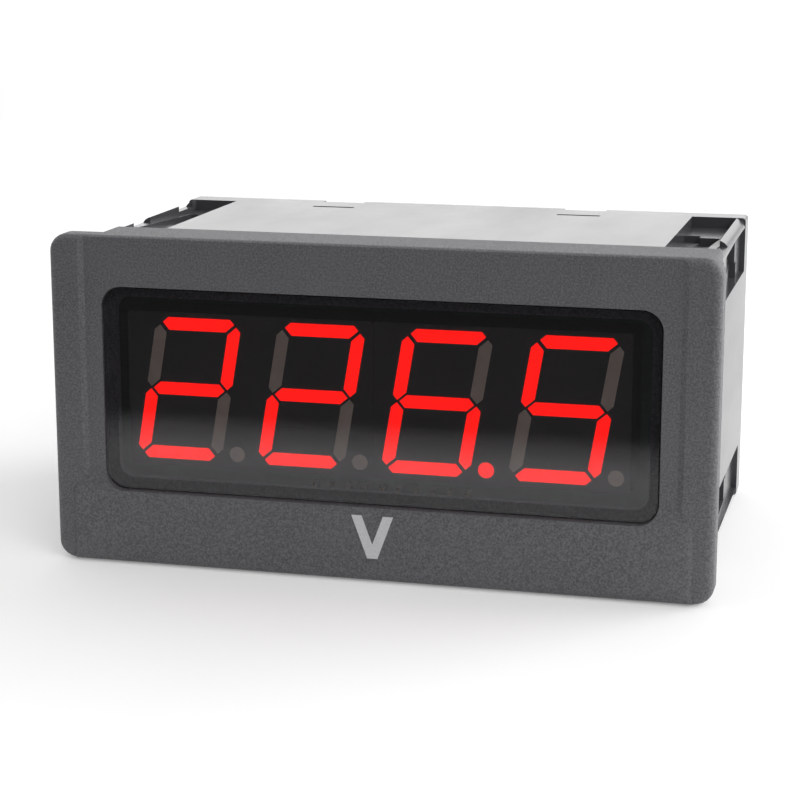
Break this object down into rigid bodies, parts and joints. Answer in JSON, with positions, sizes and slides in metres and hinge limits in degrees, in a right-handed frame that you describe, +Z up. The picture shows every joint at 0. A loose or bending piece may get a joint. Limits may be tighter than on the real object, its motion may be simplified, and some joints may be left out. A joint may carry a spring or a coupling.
{
  "type": "digital panel meter",
  "caption": "Panel-mounting digital meter with red seven-segment display behind a smoked window, grained bezel, clamp-channel case and plug-in screw terminals.",
  "frame": {"origin": "centre of the flange's rear face, which lies on the panel", "axes": "+Y to the rear of the panel, out of the flange's rear face; +Z up; +X to the right as the reader sees the meter"},
  "size_m": [0.096, 0.064, 0.048],
  "materials": {
    "bezel_plastic": "fine spark-eroded grain, matt dark grey",
    "case_plastic": "smooth semi-gloss dark grey",
    "smoked_window": "smoked clear pane, polished",
    "display_face": "matt black ink",
    "segment_lit": "diffusing epoxy lit from behind",
    "segment_dark": "diffusing epoxy, unlit",
    "circuit_board": "solder mask",
    "tinned_pin": "bright tin",
    "gold_pin": "flash gold",
    "chip_black": "moulded black",
    "chip_white": "moulded white",
    "ferrite": "ground ferrite",
    "winding_tape": "yellow polyester tape",
    "capacitor_sleeve": "shrunk sleeve",
    "fuse_body": "moulded brown-red",
    "resistor_body": "beige lacquer",
    "terminal_green": "moulded polyamide, satin",
    "contact_brass": "stamped",
    "screw_steel": "zinc plated",
    "cage_steel": "zinc plated, stamped"
  },
  "bodies": {
    "meter": {"front_bezel": "bezel_plastic", "window_filter": "smoked_window", "display_left": "display_face", "display_right": "display_face", "segments_lit": "segment_lit", "segments_dark": "segment_dark", "display_pins": "tinned_pin", "display_board": "circuit_board", "case_shell": "case_plastic", "rear_cover": "case_plastic", "main_board": "circuit_board", "link_strip": "chip_black", "link_pins": "gold_pin", "microcontroller": "chip_black", "converter_chip": "chip_black", "optocoupler": "chip_white", "transformer_core": "ferrite", "transformer_winding": "winding_tape", "transformer_bobbin": "chip_black", "smoothing_capacitor": "capacitor_sleeve", "output_capacitors": "capacitor_sleeve", "bridge_rectifier": "chip_black", "supply_fuse": "fuse_body", "input_resistors": "resistor_body", "input_header": "terminal_green", "input_pins": "tinned_pin", "supply_header": "terminal_green", "supply_pins": "tinned_pin"},
    "input_plug": {"input_plug": "terminal_green", "input_contacts": "contact_brass"},
    "supply_plug": {"supply_plug": "terminal_green", "supply_contacts": "contact_brass"},
    "screw_1": {"terminal_screw_1": "screw_steel"},
    "cage_1": {"clamp_cage_1": "cage_steel"},
    "screw_2": {"terminal_screw_2": "screw_steel"},
    "cage_2": {"clamp_cage_2": "cage_steel"},
    "screw_3": {"terminal_screw_3": "screw_steel"},
    "cage_3": {"clamp_cage_3": "cage_steel"},
    "screw_4": {"terminal_screw_4": "screw_steel"},
    "cage_4": {"clamp_cage_4": "cage_steel"},
    "screw_5": {"terminal_screw_5": "screw_steel"},
    "cage_5": {"clamp_cage_5": "cage_steel"},
    "screw_6": {"terminal_screw_6": "screw_steel"},
    "cage_6": {"clamp_cage_6": "cage_steel"}
  },
  "joints": [
    {"name": "input_plug_pull", "type": "slide", "parent": "meter", "child": "input_plug", "axis": [0, 1, 0], "range_m": [0, 0.02]},
    {"name": "supply_plug_pull", "type": "slide", "parent": "meter", "child": "supply_plug", "axis": [0, 1, 0], "range_m": [0, 0.02]},
    {"name": "cage_1_lift", "type": "slide", "parent": "input_plug", "child": "cage_1", "axis": [0, 0, 1], "range_m": [0, 0.002]},
    {"name": "screw_1_turn", "type": "hinge", "parent": "input_plug", "child": "screw_1", "pos_m": [0.00838, 0.0564, -0.0026], "axis": [0, 0, -1], "range_deg": [0, 1440]},
    {"name": "cage_2_lift", "type": "slide", "parent": "input_plug", "child": "cage_2", "axis": [0, 0, 1], "range_m": [0, 0.002]},
    {"name": "screw_2_turn", "type": "hinge", "parent": "input_plug", "child": "screw_2", "pos_m": [0.01346, 0.0564, -0.0026], "axis": [0, 0, -1], "range_deg": [0, 1440]},
    {"name": "cage_3_lift", "type": "slide", "parent": "input_plug", "child": "cage_3", "axis": [0, 0, 1], "range_m": [0, 0.002]},
    {"name": "screw_3_turn", "type": "hinge", "parent": "input_plug", "child": "screw_3", "pos_m": [0.01854, 0.0564, -0.0026], "axis": [0, 0, -1], "range_deg": [0, 1440]},
    {"name": "cage_4_lift", "type": "slide", "parent": "input_plug", "child": "cage_4", "axis": [0, 0, 1], "range_m": [0, 0.002]},
    {"name": "screw_4_turn", "type": "hinge", "parent": "input_plug", "child": "screw_4", "pos_m": [0.02362, 0.0564, -0.0026], "axis": [0, 0, -1], "range_deg": [0, 1440]},
    {"name": "cage_5_lift", "type": "slide", "parent": "supply_plug", "child": "cage_5", "axis": [0, 0, 1], "range_m": [0, 0.002]},
    {"name": "screw_5_turn", "type": "hinge", "parent": "supply_plug", "child": "screw_5", "pos_m": [-0.02654, 0.0564, -0.0026], "axis": [0, 0, -1], "range_deg": [0, 1440]},
    {"name": "cage_6_lift", "type": "slide", "parent": "supply_plug", "child": "cage_6", "axis": [0, 0, 1], "range_m": [0, 0.002]},
    {"name": "screw_6_turn", "type": "hinge", "parent": "supply_plug", "child": "screw_6", "pos_m": [-0.02146, 0.0564, -0.0026], "axis": [0, 0, -1], "range_deg": [0, 1440]}
  ],
  "couplings": [
    {"joint": "screw_1_turn", "follows": "cage_1_lift", "rad_per_m": 12566},
    {"joint": "screw_2_turn", "follows": "cage_2_lift", "rad_per_m": 12566},
    {"joint": "screw_3_turn", "follows": "cage_3_lift", "rad_per_m": 12566},
    {"joint": "screw_4_turn", "follows": "cage_4_lift", "rad_per_m": 12566},
    {"joint": "screw_5_turn", "follows": "cage_5_lift", "rad_per_m": 12566},
    {"joint": "screw_6_turn", "follows": "cage_6_lift", "rad_per_m": 12566}
  ]
}
